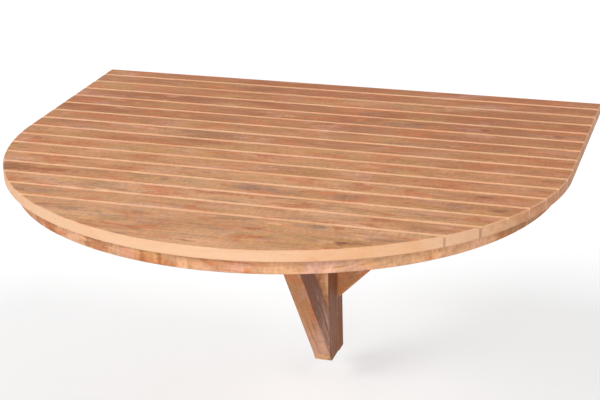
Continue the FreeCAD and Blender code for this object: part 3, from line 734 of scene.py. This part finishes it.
def cross_recess(screw, head_radius):
    """Cut a cross recess into the head of the screw."""
    look = bpy.context.scene.hardware
    arm = (head_radius * RECESS_LENGTH, look.recess_width, look.recess_depth * 2, 1)
    for angle in (0, math.pi / 2):
        deselect()
        bpy.ops.mesh.primitive_cube_add(size=1, location=(0, 0, 0))
        cutter = bpy.context.object
        cutter.data.transform(Matrix.Diagonal(arm))
        bpy.ops.object.mode_set(mode="EDIT")
        mesh = bmesh.from_edit_mesh(cutter.data)
        for vertex in mesh.verts:
            vertex.select_set(vertex.co.z < 0)
        mesh.select_flush(True)
        mesh.select_flush(False)
        bpy.ops.transform.resize(value=(RECESS_TAPER, 1, 1))
        bpy.ops.object.mode_set(mode="OBJECT")
        cutter.data.transform(Matrix.Rotation(angle, 4, "Z"))
        cut = screw.modifiers.new("Recess", "BOOLEAN")
        cut.operation = "DIFFERENCE"
        cut.object = cutter
        deselect()
        bpy.context.view_layer.objects.active = screw
        screw.select_set(True)
        bpy.ops.object.modifier_apply(modifier=cut.name)
        remove(cutter)


def coat(piece, material):
    """Give the piece, which is the selected one, its material and soft edges."""
    piece.data.materials.clear()
    piece.data.materials.append(material)
    bpy.ops.object.shade_smooth_by_angle(angle=SMOOTH_ANGLE)


# ---- operators -------------------------------------------------------------------
class TABLE_OT_deck(bpy.types.Operator):
    """Finish the slats and the front board, each a board of its own"""
    bl_idname = "table.deck"
    bl_label = "Slatted deck"

    def execute(self, context):
        for number, (name, tone) in enumerate(zip(SLATS, SLAT_TONES)):
            # Every slat also takes the painted shade at its right end.
            marks = board_marks(name, (RIGHT_END_SHADE, *SLAT_MARKS.get(name, ())))
            board(name, LENGTHWISE, SEEDS["slats"] + number, tone, cut_edges=PALE_EDGES,
                  marks=marks, joints=seam_shade(name))
        board("front_board", LENGTHWISE, SEEDS["front_board"], BOARD_TONE, cut_edges=PALE_EDGES,
              marks=board_marks("front_board", BOARD_MARKS))
        return {"FINISHED"}


class TABLE_OT_hoop(bpy.types.Operator):
    """Finish the hoop, each piece with its grain along its own length, rails and battens"""
    bl_idname = "table.hoop"
    bl_label = "Hoop and battens"

    def execute(self, context):
        for number, (name, tone) in enumerate(HOOP_TONES.items()):
            low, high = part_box(name)
            middle = (low + high) / 2
            out = middle - HOOP_CENTRE
            turn = (0, 0, -math.atan2(out.x, -out.y))
            marks = [((x, middle.y, middle.z), (half, WHOLE, WHOLE), kind, strength)
                     for x, half, kind, strength in HOOP_MARKS[name]]
            board(name, turn, SEEDS["hoop"] + number, tone, marks=marks)
        for number, name in enumerate(RIBS):
            board(name, CROSSWISE, SEEDS["ribs"] + number, RIB_TONE)
        dress(["back_rail", "shelf_ledger"],
              teak("teak_rails", LENGTHWISE, SEEDS["rails"], RAIL_TONE))
        dress(["gate_bearer", "gate_stop"],
              teak("teak_bearer", CROSSWISE, SEEDS["bearer"], BEARER_TONE))
        return {"FINISHED"}


class TABLE_OT_wall_frame(bpy.types.Operator):
    """Finish the rail, post and braces on the wall"""
    bl_idname = "table.wall_frame"
    bl_label = "Wall frame"

    def execute(self, context):
        for number, (name, (turn, tone)) in enumerate(WALL_PIECES.items()):
            # The right side of an upright takes painted shade.
            board(name, turn, SEEDS["wall_frame"] + number, tone, marks=shaded_side(name))
        return {"FINISHED"}


class TABLE_OT_gate(bpy.types.Operator):
    """Finish the gate that carries the leaf, and the dowels"""
    bl_idname = "table.gate"
    bl_label = "Gate"

    def execute(self, context):
        for number, (name, (turn, tone)) in enumerate(GATE_PIECES.items()):
            # The right side of an upright takes painted shade.
            board(name, turn, SEEDS["gate"] + number, tone,
                  marks=shaded_side(name) + GATE_MARKS.get(name, ()))
        dress(["frame_dowels", "hoop_dowels", "gate_dowels"],
              teak("beech_dowels", UPRIGHT, SEEDS["dowels"], DOWEL_TONE))
        return {"FINISHED"}


class TABLE_OT_screws(bpy.types.Operator):
    """Model the countersunk screws with a cross recess in each head"""
    bl_idname = "table.screws"
    bl_label = "Screws"

    def execute(self, context):
        look = context.scene.hardware
        steel = metal("zinc_steel", look.steel, STEEL_ROUGHNESS)
        for node, body in SCREW_NODES.items():
            places = {}
            for points in islands(node):
                head, direction, radius, size = screw_place(points)
                alike = places.setdefault((round(radius, DIGITS), round(size, DIGITS)), [])
                alike.append(stood(head, -direction))
            made = []
            for radius, size in sorted(places):
                model = spun("screw", screw_profile(radius, size), look.sides)
                cross_recess(model, radius)
                made.append(copies(model, node + "_detailed", places[radius, size]))
                remove(model)
            deselect()
            for piece in made:
                piece.select_set(True)
            context.view_layer.objects.active = made[0]
            if len(made) > 1:
                bpy.ops.object.join()
            piece = made[0]
            coat(piece, steel)
            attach(piece, body)
            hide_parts(node)
        return {"FINISHED"}


class TABLE_OT_hinges(bpy.types.Operator):
    """Finish the hinge plates and model their pins with domed ends"""
    bl_idname = "table.hinges"
    bl_label = "Hinges"

    def execute(self, context):
        look = context.scene.hardware
        brass = metal("aged_brass", look.brass, BRASS_ROUGHNESS)
        dress([name for name in NODES if name.endswith("_plate")], brass)
        for node in PIN_NODES:
            low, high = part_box(node)
            spans = high - low
            along = longest(spans)
            profile = pin_profile(min(spans) / 2, spans[along] / 2)
            pin = spun(node + "_domed", profile, look.sides)
            pin.data.transform(stood((low + high) / 2, along_axis(along, 1)))
            coat(pin, brass)
            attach(pin, "wall_frame")
            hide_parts(node)
        return {"FINISHED"}


class TABLE_OT_stage(bpy.types.Operator):
    """Set the pale floor, the soft lights and the camera"""
    bl_idname = "table.stage"
    bl_label = "Stage"

    def execute(self, context):
        stage = context.scene.stage
        self.floor(stage)
        self.world(context, stage)
        self.lamp("key", stage.key, stage.key_turn, stage.key_height, stage.softness)
        self.lamp("fill", stage.fill, stage.fill_turn, stage.fill_height, stage.softness)
        self.lamp("side", stage.side, stage.side_turn, stage.side_height, stage.softness)
        self.camera(context)
        return {"FINISHED"}

    def floor(self, stage):
        deselect()
        bpy.ops.mesh.primitive_grid_add(
            x_subdivisions=FLOOR_SQUARES, y_subdivisions=FLOOR_SQUARES, size=FLOOR_SIZE,
            location=(0, 0, -stage.floor_drop))
        ground = bpy.context.object
        ground.name = "floor"
        tree = Tree(bpy.data.materials.new("white_paper"))
        paper = tree.add("BsdfDiffuse", {"Color": opaque(stage.paper)})
        lift = tree.add("Emission", {"Strength": tree.maths("MULTIPLY", tree.seen(), stage.lift)})
        both = tree.add("AddShader", {0: paper.outputs[0], 1: lift.outputs[0]})
        tree.add("OutputMaterial", {"Surface": both.outputs[0]})
        ground.data.materials.append(tree.owner)

    def world(self, context, stage):
        context.scene.world = bpy.data.worlds.new("white_room")
        tree = Tree(context.scene.world)
        sockets = {"Value": tree.seen(), "To Min": stage.room, "To Max": 1.0}
        strength = tree.add("MapRange", sockets).outputs[0]
        light = tree.add("Background", {"Color": WHITE, "Strength": strength})
        tree.add("OutputWorld", {"Surface": light.outputs[0]})

    def lamp(self, name, strength, turn, height, softness):
        """A wide soft light far away, turned from the front and above the level."""
        data = bpy.data.lights.new(name, "SUN")
        data.energy = strength
        data.angle = softness
        made = bpy.data.objects.new(name, data)
        bpy.context.scene.collection.objects.link(made)
        source = Vector((math.sin(turn) * math.cos(height), -math.cos(turn) * math.cos(height),
                         math.sin(height)))
        made.rotation_euler = source.to_track_quat("Z", "Y").to_euler()

    def camera(self, context):
        """The viewpoint: right of the middle, above the top, looking down at it."""
        reach = math.cos(EYE_PITCH)
        forward = Vector((-math.sin(EYE_YAW) * reach, math.cos(EYE_YAW) * reach,
                          -math.sin(EYE_PITCH)))
        level = Vector((math.cos(EYE_YAW), math.sin(EYE_YAW), 0))
        upward = level.cross(forward)
        right = math.cos(EYE_ROLL) * level + math.sin(EYE_ROLL) * upward
        up = math.cos(EYE_ROLL) * upward - math.sin(EYE_ROLL) * level
        data = bpy.data.cameras.new("camera")
        data.sensor_width = EYE_SENSOR
        data.lens = EYE_LENS
        eye = bpy.data.objects.new("camera", data)
        context.scene.collection.objects.link(eye)
        turn = Matrix((right, up, -forward)).transposed().to_4x4()
        eye.matrix_world = Matrix.Translation(EYE) @ turn
        context.scene.camera = eye
        context.scene.view_settings.view_transform = "Standard"


class TABLE_PT_panel(bpy.types.Panel):
    """Lists the steps that finish the table"""
    bl_idname = "TABLE_PT_panel"
    bl_label = "Drop Leaf Table"
    bl_space_type = "VIEW_3D"
    bl_region_type = "UI"
    bl_category = "Drop Leaf"

    def draw(self, context):
        for step in STEPS:
            self.layout.operator(step.bl_idname)
        for group in ("teak", "hardware", "stage"):
            settings = getattr(context.scene, group)
            box = self.layout.box()
            for name in settings.__annotations__:
                box.prop(settings, name)


STEPS = (TABLE_OT_stage, TABLE_OT_deck, TABLE_OT_hoop, TABLE_OT_wall_frame, TABLE_OT_gate,
         TABLE_OT_screws, TABLE_OT_hinges)
CLASSES = (TeakSettings, HardwareSettings, StageSettings, *STEPS, TABLE_PT_panel)


def register():
    for made in CLASSES:
        bpy.utils.register_class(made)
    bpy.types.Scene.teak = PointerProperty(type=TeakSettings)
    bpy.types.Scene.hardware = PointerProperty(type=HardwareSettings)
    bpy.types.Scene.stage = PointerProperty(type=StageSettings)


def unregister():
    del bpy.types.Scene.stage
    del bpy.types.Scene.hardware
    del bpy.types.Scene.teak
    for made in reversed(CLASSES):
        bpy.utils.unregister_class(made)


def main():
    register()
    bpy.ops.table.stage()
    bpy.ops.table.deck()
    bpy.ops.table.hoop()
    bpy.ops.table.wall_frame()
    bpy.ops.table.gate()
    bpy.ops.table.screws()
    bpy.ops.table.hinges()


if __name__ == "__main__":
    main()
